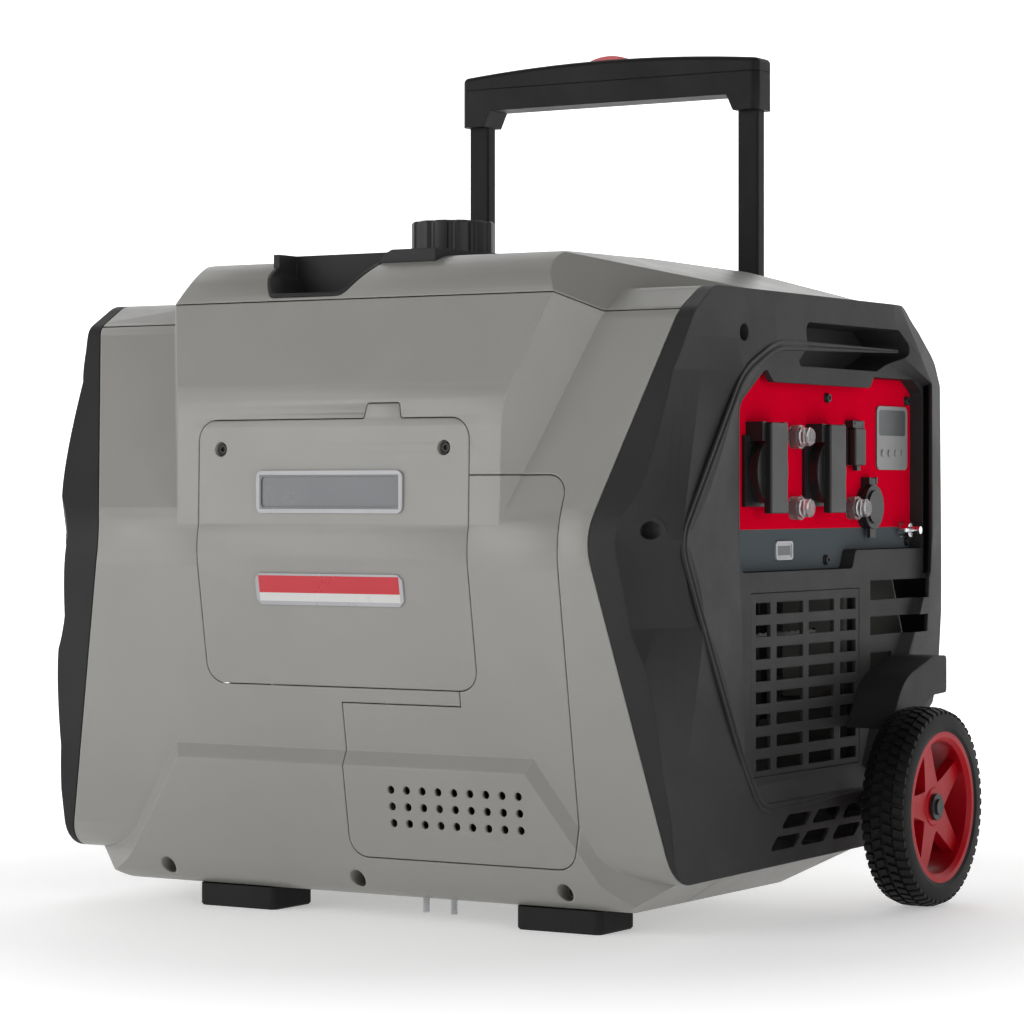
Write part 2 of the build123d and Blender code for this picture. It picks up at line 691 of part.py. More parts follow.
usb_hinge_z = usb_z + 17.5
with BuildPart() as usb_socket:
    add(block(236, 250, usb_y - 7.7, usb_y + 7.7, usb_z - 12.7, usb_z + 12.7))
    add(block(face_x, 250.5, usb_y - 10, usb_y + 10, usb_z - 15, usb_z + 15.5))
    for port_z in (usb_z - 6, usb_z + 6):
        port = block(242, 260, usb_y - 6.5, usb_y + 6.5, port_z - 2.5, port_z + 2.5)
        add(port, mode=Mode.SUBTRACT)
    for y in (usb_y - 8.5, usb_y + 8.5):
        add(block(face_x, 255, y - 1.5, y + 1.5, usb_z + 14, usb_hinge_z + 2))
    add(rod((253, usb_y - 10, usb_hinge_z), y_way, 1, 20))
save(usb_socket, "usb_socket")

with BuildPart() as usb_cover:
    add(rounded_block(250.9, 257, usb_y - 9.5, usb_y + 9.5, usb_z - 15, usb_z + 13.5, 1.5))
    add(block(252, 255, usb_y - 6.5, usb_y + 6.5, usb_z + 12, usb_hinge_z))
    add(rod((253, usb_y - 6.5, usb_hinge_z), y_way, 2.4, 13))
    add(block(251.2, 255, usb_y - 3, usb_y + 3, usb_z - 19, usb_z - 14))
    add(rod((253, usb_y - 12, usb_hinge_z), y_way, 1.06, 24), mode=Mode.SUBTRACT)
save(usb_cover, "usb_cover")

dc_hinge_z = dc_z + 21.0
with BuildPart() as dc_socket:
    add(rod((232, dc_y, dc_z), x_way, 14, 18))
    add(rod((face_x, dc_y, dc_z), x_way, 17, 3.5))
    add(rod((238, dc_y, dc_z), x_way, 10.8, 20), mode=Mode.SUBTRACT)
    for side in (-1, 1):
        y = dc_y + side * 6
        add(block(face_x, 255.5, y - 1.3, y + 1.3, dc_z + 14, dc_hinge_z + 2))
    add(block(251.6, 256, dc_y - 8, dc_y + 8, dc_z, dc_z + 17.6), mode=Mode.SUBTRACT)
    add(rod((253.5, dc_y - 7, dc_hinge_z), y_way, 1, 14))
save(dc_socket, "dc_socket")

with BuildPart() as dc_cap:
    add(rod((252.3, dc_y, dc_z), x_way, 17, 4))
    add(rod((256, dc_y, dc_z), x_way, 13, 2))
    add(block(252.3, 255.3, dc_y - 4, dc_y + 4, dc_z + 14, dc_hinge_z))
    add(rod((253.5, dc_y - 4.2, dc_hinge_z), y_way, 1.8, 8.4))
    add(block(252.5, 255, dc_y - 5, dc_y + 5, dc_z - 24, dc_z - 15))
    add(rod((253.5, dc_y - 9, dc_hinge_z), y_way, 1.06, 18), mode=Mode.SUBTRACT)
save(dc_cap, "dc_cap")

with BuildPart() as breaker_bodies:
    for y, z in breaker_places:
        add(tube((222, y, z), x_way, 6, 4.15, 30))
        add(tube((face_x, y, z), x_way, 9, 7.2, 7))
        add(tube((face_x, y, z), x_way, 9, 4.15, 1.5))
        add(rod((221, y, z), x_way, 6, 3))
save(breaker_bodies, "breaker_bodies")

for number, (y, z) in enumerate(breaker_places, start=1):
    with BuildPart() as breaker_button:
        add(rod((238, y, z), x_way, 4.1, 20))
        add(rod((256.6, y, z), x_way, 6.8, 7.4))
        chamfer(breaker_button.faces().sort_by(Axis.X)[-1].edges(), 1)
    save(breaker_button, f"breaker_button_{number}")

with BuildPart() as earth_terminal:
    add(rod((232, earth_y, earth_z), x_way, 3, 34))
    add(rod((face_x, earth_y, earth_z), x_way, 6.5, 2))
    add(rod((240, earth_y, earth_z), x_way, 6.5, 4.6))
save(earth_terminal, "earth_terminal")

with BuildPart() as wing_nut:
    add(rod((250.4, earth_y, earth_z), x_way, 5.5, 7))
    add(block(252.5, 261, earth_y - 14, earth_y + 14, earth_z - 1.3, earth_z + 1.3))
    wing_tips = wing_nut.edges().filter_by(Axis.Z).filter_by(lambda e: abs(e.center().Y - earth_y) > 13)
    fillet(wing_tips, 3)
    add(rod((240, earth_y, earth_z), x_way, 3.06, 30), mode=Mode.SUBTRACT)
save(wing_nut, "wing_nut")

indicator_y, indicator_z = 176.0, 356.0
with BuildPart() as indicator_panel:
    with BuildSketch(Plane(origin=(face_x, indicator_y, indicator_z), x_dir=y_way, z_dir=x_way)):
        RectangleRounded(56, 50, 5)
    extrude(amount=1.4)
    with BuildSketch(Plane(origin=(face_x + 1, indicator_y, indicator_z), x_dir=y_way, z_dir=x_way)):
        with Locations((0, 12)):
            RectangleRounded(49, 20, 3)
    extrude(amount=1, mode=Mode.SUBTRACT)
    for offset_y in (-18, -6, 6, 18):
        add(rod((face_x, indicator_y + offset_y, indicator_z - 12), x_way, 2.6, 2.4))
save(indicator_panel, "indicator_panel")

with BuildPart() as badge_plates:
    add(door_plates.part)
    with BuildSketch(Plane(origin=(face_x, -11.4, 270), x_dir=y_way, z_dir=x_way)):
        RectangleRounded(28, 14, 3)
    extrude(amount=1.5)
    with BuildSketch(Plane(origin=(face_x + 1, -11.4, 270), x_dir=y_way, z_dir=x_way)):
        RectangleRounded(24, 10, 2)
    extrude(amount=1, mode=Mode.SUBTRACT)
save(badge_plates, "badge_plates")

with BuildPart() as case_screws:
    for y, z in panel_screw_places:
        add(screw((face_x, y, z), x_way, 4))
    for x, z in door_screw_places:
        add(screw((x, -232.05, z), (0, -1, 0), 4.4))
    for x, z in base_screw_places:
        add(screw((x, -192.05, z), (0, -1, 0), 4.6))
    for y, z, floor in frame_screw_places:
        add(screw((floor + 0.05, y, z), x_way, 4.6))
        add(screw((-floor - exhaust_extra - 0.05, y, z), (-1, 0, 0), 4.6))
save(case_screws, "case_screws")

# ---------------------------------------------------------------- pull handle
tube_width, tube_depth, tube_wall = 18.5, 12.5, 1.4
tube_low, tube_high = 285.0, 640.0
guide_low, guide_high = 131.0, 463.0
grip_parting, grip_end, grip_high = 652.0, 662.5, 669.5


def upright(x, width, depth, low, high, bore_width=0, bore_depth=0):
    """Rectangular upright at the handle line, hollow where a bore is given."""
    with BuildPart() as post:
        with BuildSketch(Plane.XY.offset(low)):
            with Locations((x, handle_y)):
                RectangleRounded(width, depth, 2)
                if bore_width:
                    RectangleRounded(bore_width, bore_depth, 1, mode=Mode.SUBTRACT)
        extrude(amount=high - low)
    return post.part


with BuildPart() as handle_guides:
    for side in (-1, 1):
        x = side * handle_x
        add(upright(x, 23.6, 17.6, guide_low, guide_high, tube_width + 0.15, tube_depth + 0.15))
        add(upright(x, 30, 24, 460.4, guide_high, tube_width + 0.15, tube_depth + 0.15))
save(handle_guides, "handle_guides")

with BuildPart() as handle_tubes:
    for side in (-1, 1):
        bore = (tube_width - 2 * tube_wall, tube_depth - 2 * tube_wall)
        add(upright(side * handle_x, tube_width, tube_depth, tube_low, tube_high, *bore))
save(handle_tubes, "handle_tubes")

with BuildPart() as grip_lower:
    with BuildSketch(Plane.XZ.offset(-handle_y + 14)):
        with BuildLine():
            Polyline([
                (-140, 621), (-118, 621), (-112, 634), (112, 634), (118, 621), (140, 621),
                (140, grip_parting), (-140, grip_parting),
            ], close=True)
        make_face()
    extrude(amount=-28)
    fillet(grip_lower.edges().filter_by(Axis.Z).filter_by(lambda e: abs(e.center().X) > 130), 6)
    for side in (-1, 1):
        add(upright(side * handle_x, tube_width + 0.1, tube_depth + 0.1, 600, tube_high + 0.1),
            mode=Mode.SUBTRACT)
save(grip_lower, "grip_lower")

button_half, button_top = 21.5, 673.0
with BuildPart() as grip_upper:
    with BuildSketch(Plane.XZ.offset(-handle_y + 14)) as grip_side:
        with BuildLine():
            Line((-140, grip_parting + 0.3), (140, grip_parting + 0.3))
            Line((140, grip_parting + 0.3), (140, grip_end))
            ThreePointArc((140, grip_end), (0, grip_high), (-140, grip_end))
            Line((-140, grip_end), (-140, grip_parting + 0.3))
        make_face()
    extrude(amount=-28)
    fillet(grip_upper.edges().filter_by(Axis.Z), 6)
    fillet(grip_upper.faces().sort_by(Axis.Z)[-1].edges(), 4)
    add(block(-22, 22, handle_y - 9, handle_y + 9, 656, 690), mode=Mode.SUBTRACT)
save(grip_upper, "grip_upper")

with BuildPart() as release_button:
    with BuildSketch(Plane.XZ.offset(-handle_y + 8.7)):
        with BuildLine():
            Polyline([(-button_half, 661), (-button_half, 669), (button_half, 669), (button_half, 661)])
            Line((button_half, 661), (-button_half, 661))
        make_face()
    extrude(amount=-17.4)
    with BuildSketch(Plane.XZ.offset(-handle_y + 8.7)):
        with BuildLine():
            Line((-button_half, 668), (button_half, 668))
            ThreePointArc((button_half, 668), (0, button_top), (-button_half, 668))
        make_face()
    extrude(amount=-17.4)
save(release_button, "release_button")

# ---------------------------------------------------------------- fuel system
cap_low, cap_high = 492.2, 527.0
neck_radius = 24.0
with BuildPart() as fuel_cap:
    with BuildSketch(Plane.XY.offset(cap_low)):
        with Locations((cap_x, cap_y)):
            Circle(33)
            with PolarLocations(34.5, 12):
                Circle(4, mode=Mode.SUBTRACT)
    extrude(amount=cap_high - cap_low)
    chamfer(fuel_cap.faces().sort_by(Axis.Z)[-1].edges(), 1.5)
    add(rod((cap_x, cap_y, 480), z_way, neck_radius + 0.1, 35), mode=Mode.SUBTRACT)
save(fuel_cap, "fuel_cap")

tank_box = (-150, 100, -110, 110, 366, 440)
with BuildPart() as fuel_tank:
    add(rounded_block(*tank_box, 12))
    add(rod((cap_x, cap_y, 430), z_way, neck_radius, 80))
    x0, x1, y0, y1, z0, z1 = tank_box
    add(rounded_block(x0 + 2, x1 - 2, y0 + 2, y1 - 2, z0 + 2, z1 - 2, 10), mode=Mode.SUBTRACT)
    add(rod((cap_x, cap_y, 430), z_way, neck_radius - 3, 100), mode=Mode.SUBTRACT)
save(fuel_tank, "fuel_tank")

# ---------------------------------------------------------------- engine and alternator
crank_box = (-70, 50, -70, 90, 80, 230)
with BuildPart() as engine_block:
    add(rounded_block(*crank_box, 8))
    x0, x1, y0, y1, z0, z1 = crank_box
    add(block(x0 + 6, x1 - 6, y0 + 6, y1 - 6, z0 + 6, z1 - 6), mode=Mode.SUBTRACT)
    add(block(-48, 28, -38, 48, 229, 322))
    for fin in range(9):
        add(block(-62, 42, -52, 62, 238 + fin * 9.5, 241.5 + fin * 9.5))
    add(rod((-10, 5, 200), z_way, 34, 130), mode=Mode.SUBTRACT)
    add(tube((48, shaft_y, shaft_z), x_way, 29, 13, 26))
    add(rod((-58, shaft_y, shaft_z), x_way, 12.56, 140), mode=Mode.SUBTRACT)
save(engine_block, "engine_block")

with BuildPart() as cylinder_head:
    add(rounded_block(-48, 28, -38, 48, 322.3, 344, 3))
    for fin in range(5):
        add(block(-46 + fin * 17, -43 + fin * 17, -34, 44, 343, 356))
    add(rod((-10, -50, 334), y_way, 5.2, 30), mode=Mode.SUBTRACT)
save(cylinder_head, "cylinder_head")

with BuildPart() as spark_plug:
    add(rod((-10, -38.3, 334), y_way, 5, 16))
    add(rod((-10, -46.5, 334), y_way, 8, 8.3))
    add(rod((-10, -74, 334), y_way, 5.5, 28))
save(spark_plug, "spark_plug")

with BuildPart() as carburettor:
    add(rod((-10, -129.6, 282), y_way, 16, 77.4))
    add(rounded_block(-32, 12, -112, -72, 262, 304, 4))
    add(rounded_block(-26, 6, -108, -76, 246, 264, 3))
    add(rod((-10, -131, 282), y_way, 10, 90), mode=Mode.SUBTRACT)
save(carburettor, "carburettor")

with BuildPart() as air_filter_box:
    add(rounded_block(-60, 60, -200, -130, 240, 350, 8))
    add(block(-56, 56, -196, -134, 244, 346), mode=Mode.SUBTRACT)
    add(rod((-10, -150, 282), y_way, 10, 30), mode=Mode.SUBTRACT)
save(air_filter_box, "air_filter_box")

with BuildPart() as muffler:
    add(rounded_block(-190, -100, -60, 100, 90, 230, 14))
    add(rod((-145, 5, 225), z_way, 12, 67))
    add(rod((-145, 5, 280), x_way, 12, 82.4))
    add(rounded_block(-186, -104, -56, 96, 94, 226, 10), mode=Mode.SUBTRACT)
    add(rod((-272, tail_y, tail_z), x_way, 16, 83))
    add(rod((-280, tail_y, tail_z), x_way, 14, 95), mode=Mode.SUBTRACT)
save(muffler, "muffler")

with BuildPart() as crankshaft:
    add(rod((-58, shaft_y, shaft_z), x_way, 12.5, 200))
    for x in (-32, 4):
        add(rod((x, shaft_y, shaft_z), x_way, 44, 10))
    add(rod((-24, shaft_y, shaft_z + 28), x_way, 13, 30))
save(crankshaft, "crankshaft")

rotor_x = 76.0
with BuildPart() as stator:
    add(tube((rotor_x, shaft_y, shaft_z), x_way, 64, 29.1, 26))
save(stator, "stator")

with BuildPart() as rotor:
    add(tube((rotor_x - 2, shaft_y, shaft_z), x_way, 75, 65.5, 40))
    add(tube((rotor_x + 30, shaft_y, shaft_z), x_way, 75, 12.5, 8))
save(rotor, "rotor")

fan_x, blade_count = 116.0, 16
with BuildPart() as cooling_fan:
    add(tube((fan_x, shaft_y, shaft_z), x_way, 74, 12.5, 4))
    with BuildSketch(Plane(origin=(fan_x + 3.5, shaft_y, shaft_z), z_dir=x_way)):
        with PolarLocations(56, blade_count):
            Rectangle(32, 2.5, rotation=25)
    extrude(amount=16)
save(cooling_fan, "cooling_fan")

shroud_end = 176.0
with BuildPart() as recoil_housing:
    add(tube((50.4, shaft_y, shaft_z), x_way, 84, 79, shroud_end - 50.4))
    add(rod((shroud_end - 4, shaft_y, shaft_z), x_way, 84, 4))
    add(rod((shroud_end - 28, shaft_y, shaft_z), x_way, 8, 26))
    for spoke in range(8):
        turn = 2 * pi * spoke / 8
        y, z = shaft_y + 60 * cos(turn), shaft_z + 60 * sin(turn)
        add(rod((shroud_end - 10, y, z), x_way, 12, 20), mode=Mode.SUBTRACT)
    rope_gate = block(pull_x - 5, pull_x + 5, shaft_y + 40, shaft_y + 100, 194, 206)
    add(rope_gate, mode=Mode.SUBTRACT)
save(recoil_housing, "recoil_housing")

pulley_groove = 37.8
with BuildPart() as recoil_pulley:
    add(turned(
        [(-8, 8.1, 0), (-8, 46, 0), (-4, 46, 0), (-2.4, pulley_groove, 0),
         (2.4, pulley_groove, 0), (4, 46, 0), (8, 46, 0), (8, 8.1, 0)],
        (pull_x, shaft_y, shaft_z), x_way,
    ))
save(recoil_pulley, "recoil_pulley")

rope_radius = 2.0
with BuildPart() as recoil_rope:
    add(rod((pull_x, shaft_y, shaft_z + 40), y_way, rope_radius, 214))
save(recoil_rope, "recoil_rope")

with BuildPart() as recoil_grip:
    add(rounded_block(pull_x - 8, pull_x + 8, 224.5, 240, 158, 242, 6))
save(recoil_grip, "recoil_grip")

dial_face = 237.0
with BuildPart() as engine_dial:
    add(rod((dial_x, 205, dial_z), y_way, 4, dial_face - 204))
    with BuildSketch(Plane(origin=(dial_x, dial_face - 3, dial_z), x_dir=x_way, z_dir=y_way)):
        Circle(21)
        with PolarLocations(22, 10):
            Circle(2.2, mode=Mode.SUBTRACT)
    extrude(amount=3)
    add(block(dial_x - 3, dial_x + 3, dial_face - 1, dial_face + 4, dial_z - 19, dial_z + 19))
save(engine_dial, "engine_dial")

with BuildPart() as inverter_module:
    add(rounded_block(182, 238, -176, -62, 62, 238, 4))
    for fin in range(9):
        add(block(184, 236, -188, -175, 74 + fin * 18, 78 + fin * 18))
save(inverter_module, "inverter_module")
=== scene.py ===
"""Looks of the suitcase inverter generator: finishes, treads, beads, rope, studio, camera."""

import json
import math

import bmesh
import bpy
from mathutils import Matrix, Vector


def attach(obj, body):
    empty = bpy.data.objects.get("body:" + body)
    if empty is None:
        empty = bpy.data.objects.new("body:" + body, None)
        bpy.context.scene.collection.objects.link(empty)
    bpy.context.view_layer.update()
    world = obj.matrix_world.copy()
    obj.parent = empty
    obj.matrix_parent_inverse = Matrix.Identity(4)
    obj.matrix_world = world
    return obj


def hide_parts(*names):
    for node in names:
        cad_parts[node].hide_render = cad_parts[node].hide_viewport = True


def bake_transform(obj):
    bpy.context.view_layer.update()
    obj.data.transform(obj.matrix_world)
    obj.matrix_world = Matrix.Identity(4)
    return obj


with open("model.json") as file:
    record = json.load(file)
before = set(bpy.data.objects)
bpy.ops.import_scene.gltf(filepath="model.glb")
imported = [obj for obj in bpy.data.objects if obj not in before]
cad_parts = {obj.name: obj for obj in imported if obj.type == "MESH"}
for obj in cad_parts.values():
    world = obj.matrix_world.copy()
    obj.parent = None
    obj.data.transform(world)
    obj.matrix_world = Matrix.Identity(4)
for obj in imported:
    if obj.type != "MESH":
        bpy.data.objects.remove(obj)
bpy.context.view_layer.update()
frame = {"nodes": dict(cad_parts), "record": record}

MM = 0.001
nodes = frame["nodes"]
node_slots = {s["node"]: s["material_slot"] for s in frame["record"]["subparts"]}


# ------------------------------------------------------------------ node helpers
class Graph:
    """A material's node tree with short calls for the nodes used here."""

    def __init__(self, name):
        self.material = bpy.data.materials.new(name)
        self.material.use_nodes = True
        self.tree = self.material.node_tree
        self.shader = self.tree.nodes["Principled BSDF"]
        self.place = self.node("ShaderNodeTexCoord").outputs["Object"]

    def node(self, kind, **settings):
        made = self.tree.nodes.new(kind)
        for key, value in settings.items():
            setattr(made, key, value)
        return made

    def link(self, source, target):
        self.tree.links.new(source, target)

    def noise(self, scale, detail=4.0, roughness=0.55, stretch=(1, 1, 1)):
        """Noise over the object's own place, in units of 1 / metre."""
        mapping = self.node("ShaderNodeMapping")
        mapping.inputs["Scale"].default_value = stretch
        self.link(self.place, mapping.inputs["Vector"])
        texture = self.node("ShaderNodeTexNoise")
        texture.inputs["Scale"].default_value = scale
        texture.inputs["Detail"].default_value = detail
        texture.inputs["Roughness"].default_value = roughness
        self.link(mapping.outputs[0], texture.inputs["Vector"])
        return texture.outputs["Fac"]

    def span(self, value, low, high, from_low=0.3, from_high=0.7):
        """The value moved from one range to another."""
        remap = self.node("ShaderNodeMapRange")
        remap.inputs["From Min"].default_value = from_low
        remap.inputs["From Max"].default_value = from_high
        remap.inputs["To Min"].default_value = low
        remap.inputs["To Max"].default_value = high
        self.link(value, remap.inputs["Value"])
        return remap.outputs["Result"]

    def mix(self, amount, first, second):
        """Colour mix; each side is a colour or a socket."""
        blend = self.node("ShaderNodeMix", data_type="RGBA")
        self.link(amount, blend.inputs["Factor"])
        for socket, value in ((blend.inputs[6], first), (blend.inputs[7], second)):
            if isinstance(value, (tuple, list)):
                socket.default_value = (*value[:3], 1)
            else:
                self.link(value, socket)
        return blend.outputs[2]

    def edges(self, radius):
        """One where the surface bends sharply, from the bevelled normal."""
        bevel = self.node("ShaderNodeBevel", samples=2)
        bevel.inputs["Radius"].default_value = radius
        normal = self.node("ShaderNodeNewGeometry").outputs["Normal"]
        dot = self.node("ShaderNodeVectorMath", operation="DOT_PRODUCT")
        self.link(bevel.outputs[0], dot.inputs[0])
        self.link(normal, dot.inputs[1])
        return self.span(dot.outputs["Value"], 1.0, 0.0, 0.75, 0.99), bevel.outputs[0]

    def bump(self, relief, strength, distance, normal=None):
        """Relief on the surface, over a given normal if there is one."""
        made = self.node("ShaderNodeBump")
        made.inputs["Strength"].default_value = strength
        made.inputs["Distance"].default_value = distance
        self.link(relief, made.inputs["Height"])
        if normal:
            self.link(normal, made.inputs["Normal"])
        self.link(made.outputs[0], self.shader.inputs["Normal"])


def scaled(colour, factor):
    """A lighter or darker shade of a colour."""
    return tuple(min(1.0, c * factor) for c in colour[:3])


def surface(name, colour, roughness=0.45, grain=900, depth=0.05, mottle=0.06,
            metallic=0.0, wear_and_highlight=0.25, edge=0.7 * MM, gloss=0.5, paint=None):
    """Moulded or metal surface: mottled colour, uneven gloss, fine grain, sharp edges painted lighter
    as wear and as a painted highlight.
    """
    graph = Graph(name)
    shader = graph.shader
    clouds = graph.noise(9.0, 5.0)
    body = graph.mix(graph.span(clouds, 0, 1), scaled(colour, 1 - mottle), scaled(colour, 1 + mottle))
    if paint:
        body = paint(graph, body)
    # Sharp edges painted lighter: partly edge wear, partly a painted highlight where real edges would
    # catch the light
    edge_wear_and_highlight, soft_normal = graph.edges(edge)
    edge_patchiness = graph.noise(140.0, 6.0, 0.7)
    amount = graph.node("ShaderNodeMath", operation="MULTIPLY")
    graph.link(edge_wear_and_highlight, amount.inputs[0])
    graph.link(graph.span(edge_patchiness, 0.2 * wear_and_highlight, wear_and_highlight), amount.inputs[1])
    body = graph.mix(amount.outputs[0], body, scaled(colour, 1.9))
    graph.link(body, shader.inputs["Base Color"])
    smears = graph.noise(24.0, 6.0, 0.65)
    graph.link(
        graph.span(smears, roughness - 0.05, roughness + 0.06), shader.inputs["Roughness"]
    )
    shader.inputs["Metallic"].default_value = metallic
    shader.inputs["Specular IOR Level"].default_value = gloss
    graph.bump(graph.noise(grain, 3.0), depth, 0.3 * MM, soft_normal)
    return graph.material


def brushed(name, colour, roughness, stretch, grain=60):
    """Metal with fine lines along one direction."""
    graph = Graph(name)
    shader = graph.shader
    lines = graph.noise(grain, 8.0, 0.7, stretch)
    tone = graph.mix(graph.span(lines, 0, 1), scaled(colour, 0.85), scaled(colour, 1.12))
    graph.link(tone, shader.inputs["Base Color"])
    graph.link(graph.span(lines, roughness - 0.08, roughness + 0.1), shader.inputs["Roughness"])
    shader.inputs["Metallic"].default_value = 1.0
    graph.bump(lines, 0.08, 0.2 * MM)
    return graph.material


def clear_plastic(name, colour):
    """Clear moulded boot with faint flow marks."""
    graph = Graph(name)
    shader = graph.shader
    flow = graph.noise(160.0, 4.0)
    graph.link(graph.mix(flow, scaled(colour, 0.9), colour), shader.inputs["Base Color"])
    graph.link(graph.span(flow, 0.05, 0.18), shader.inputs["Roughness"])
    shader.inputs["Transmission Weight"].default_value = 0.85
    shader.inputs["IOR"].default_value = 1.42
    shader.inputs["Alpha"].default_value = 0.8
    graph.bump(flow, 0.15, 0.2 * MM)
    return graph.material


def split_at(axis, level, softness, low_colour):
    """Paint that changes to another colour below a level on one axis."""

    def paint(graph, body):
        parts = graph.node("ShaderNodeSeparateXYZ")
        graph.link(graph.place, parts.inputs[0])
        below = graph.span(parts.outputs[axis], 1, 0, level - softness, level + softness)
        return graph.mix(below, body, low_colour)

    return paint


# ------------------------------------------------------------------ materials
def door_marks(graph, body):
    """Dark centres of the silver bar and panel plate, and a red and white plate, by place."""
    parts = graph.node("ShaderNodeSeparateXYZ")
    graph.link(graph.place, parts.inputs[0])
    x, y, z = parts.outputs

    def inside(value, middle, half):
        compare = graph.node("ShaderNodeMath", operation="COMPARE")
        graph.link(value, compare.inputs[0])
        compare.inputs[1].default_value = middle
        compare.inputs[2].default_value = half
        return compare.outputs[0]

    def both(first, second):
        product = graph.node("ShaderNodeMath", operation="MULTIPLY")
        graph.link(first, product.inputs[0])
        graph.link(second, product.inputs[1])
        return product.outputs[0]

    plate = both(inside(x, -4.5 * MM, 61.5 * MM), inside(z, 243.2 * MM, 9.3 * MM))
    lower = both(inside(x, -4.5 * MM, 61.5 * MM), inside(z, 236.9 * MM, 3.0 * MM))
    bar = both(inside(x, -4.0 * MM, 61.0 * MM), inside(z, 313.5 * MM, 12.5 * MM))
    centre = both(inside(y, -11.4 * MM, 10.5 * MM), inside(z, 270 * MM, 3.6 * MM))
    painted = graph.mix(plate, body, (0.42, 0.003, 0.014))
    painted = graph.mix(lower, painted, (0.5, 0.5, 0.49))
    painted = graph.mix(centre, painted, (0.05, 0.052, 0.056))
    return graph.mix(bar, painted, (0.1, 0.104, 0.112))


grey = (0.235, 0.231, 0.217)
# Each finish's wear setting also sets the strength of its painted edge highlight
materials = {
    "grey_shell": surface(
        "grey_shell", grey, 0.36, 1500, 0.05, 0.035, wear_and_highlight=1.0, edge=1.8 * MM, gloss=0.35
    ),
    "black_frame": surface(
        "black_frame", (0.024, 0.024, 0.0245), 0.5, 1300, 0.16, 0.12, wear_and_highlight=1.0,
        edge=1.6 * MM, gloss=0.12,
    ),
    "panel_red": surface(
        "panel_red", (0.56, 0.0008, 0.018), 0.55, 1100, 0.06, 0.06, wear_and_highlight=0.1, gloss=0.0,
        paint=split_at(2, 286 * MM, 0.2 * MM, (0.075, 0.086, 0.094)),
    ),
    "black_fitting": surface(
        "black_fitting", (0.010, 0.010, 0.0105), 0.4, 1500, 0.1, 0.15, wear_and_highlight=0.8,
        edge=0.6 * MM, gloss=0.35,
    ),
    "grip_black": surface(
        "grip_black", (0.008, 0.008, 0.0085), 0.5, 1700, 0.3, 0.15, wear_and_highlight=0.6,
        edge=1.2 * MM, gloss=0.14,
    ),
    "foot_rubber": surface(
        "foot_rubber", (0.012, 0.012, 0.012), 0.7, 900, 0.3, 0.2, wear_and_highlight=0.4, gloss=0.2
    ),
    "tyre_rubber": surface(
        "tyre_rubber", (0.0055, 0.006, 0.0055), 0.62, 1100, 0.35, 0.2, wear_and_highlight=0.6, gloss=0.2
    ),
    "rim_red": surface(
        "rim_red", (0.34, 0.002, 0.008), 0.4, 900, 0.05, 0.08, wear_and_highlight=0.2, gloss=0.15
    ),
    "button_red": surface("button_red", (0.45, 0.01, 0.015), 0.35, 1500, 0.08, 0.08, wear_and_highlight=0.2),
    "label_grey": surface(
        "label_grey", (0.22, 0.22, 0.22), 0.4, 1500, 0.08, 0.06, wear_and_highlight=0.2,
        paint=split_at(0, 249.3 * MM, 0.1 * MM, (0.07, 0.075, 0.08)),
    ),
    "badge_silver": surface(
        "badge_silver", (0.33, 0.33, 0.345), 0.3, 700, 0.05, 0.1, wear_and_highlight=0.3, edge=0.5 * MM,
        gloss=0.5, paint=door_marks,
    ),
    "tank_paint": surface("tank_paint", (0.03, 0.032, 0.034), 0.4, 800, 0.08, 0.1, wear_and_highlight=0.4),
    "rope_fabric": surface("rope_fabric", (0.6, 0.6, 0.57), 0.85, 2600, 0.6, 0.2, wear_and_highlight=0.1),
    "clear_boot": clear_plastic("clear_boot", (0.62, 0.64, 0.65)),
    "chrome_part": brushed("chrome_part", (0.75, 0.76, 0.78), 0.2, (1, 1, 8)),
    "brass_part": brushed("brass_part", (0.55, 0.36, 0.12), 0.35, (1, 6, 1)),
    "screw_steel": surface(
        "screw_steel", (0.03, 0.03, 0.031), 0.45, 900, 0.1, 0.15, metallic=0.4, wear_and_highlight=0.6, gloss=0.3
    ),
    "handle_tube": surface(
        "handle_tube", (0.010, 0.010, 0.0105), 0.5, 600, 0.05, 0.15, wear_and_highlight=0.5, gloss=0.1
    ),
    "cast_alloy": surface(
        "cast_alloy", (0.4, 0.41, 0.42), 0.5, 500, 0.5, 0.15, metallic=0.9, wear_and_highlight=0.5
    ),
    "steel_part": brushed("steel_part", (0.35, 0.35, 0.36), 0.4, (6, 1, 1)),
    "copper_part": brushed("copper_part", (0.6, 0.22, 0.1), 0.35, (1, 1, 12)),
    "cap_black": surface(
        "cap_black", (0.014, 0.014, 0.0145), 0.45, 1500, 0.15, 0.15, wear_and_highlight=0.8, edge=1.0 * MM,
        gloss=0.35,
    ),
    "boot_body": clear_plastic("boot_body", (0.42, 0.43, 0.44)),
}
# Nodes that look different from the rest of their slot
special = {
    "fuel_cap": "cap_black", "breaker_bodies": "boot_body", "earth_terminal": "chrome_part",
}


def dress(obj, slot_name):
    """Give an object one finish."""
    obj.data.materials.clear()
    obj.data.materials.append(materials[slot_name])


for name, obj in nodes.items():
    dress(obj, node_slots[name])
    if name in special:
        obj.data.materials[0] = materials[special[name]]

# Rounded edges on the moulded covers, in millimetres, so that they catch the light
rounded_nodes = {
    "service_side_cover": 1.0, "service_door": 0.5, "vent_cover": 0.5, "wheel_side_cover": 1.0,
    "top_cover": 1.0, "base_tray": 1.0, "top_inlay": 1.0, "grip_lower": 1.0,
}
for name, width in rounded_nodes.items():
    weld = nodes[name].modifiers.new("weld", "WELD")
    weld.merge_threshold = 0.01 * MM
    bevel = nodes[name].modifiers.new("round", "BEVEL")
    bevel.width = width * MM
    bevel.segments = 2
    bevel.limit_method = "ANGLE"
    bevel.angle_limit = math.radians(20)
    bevel.harden_normals = True


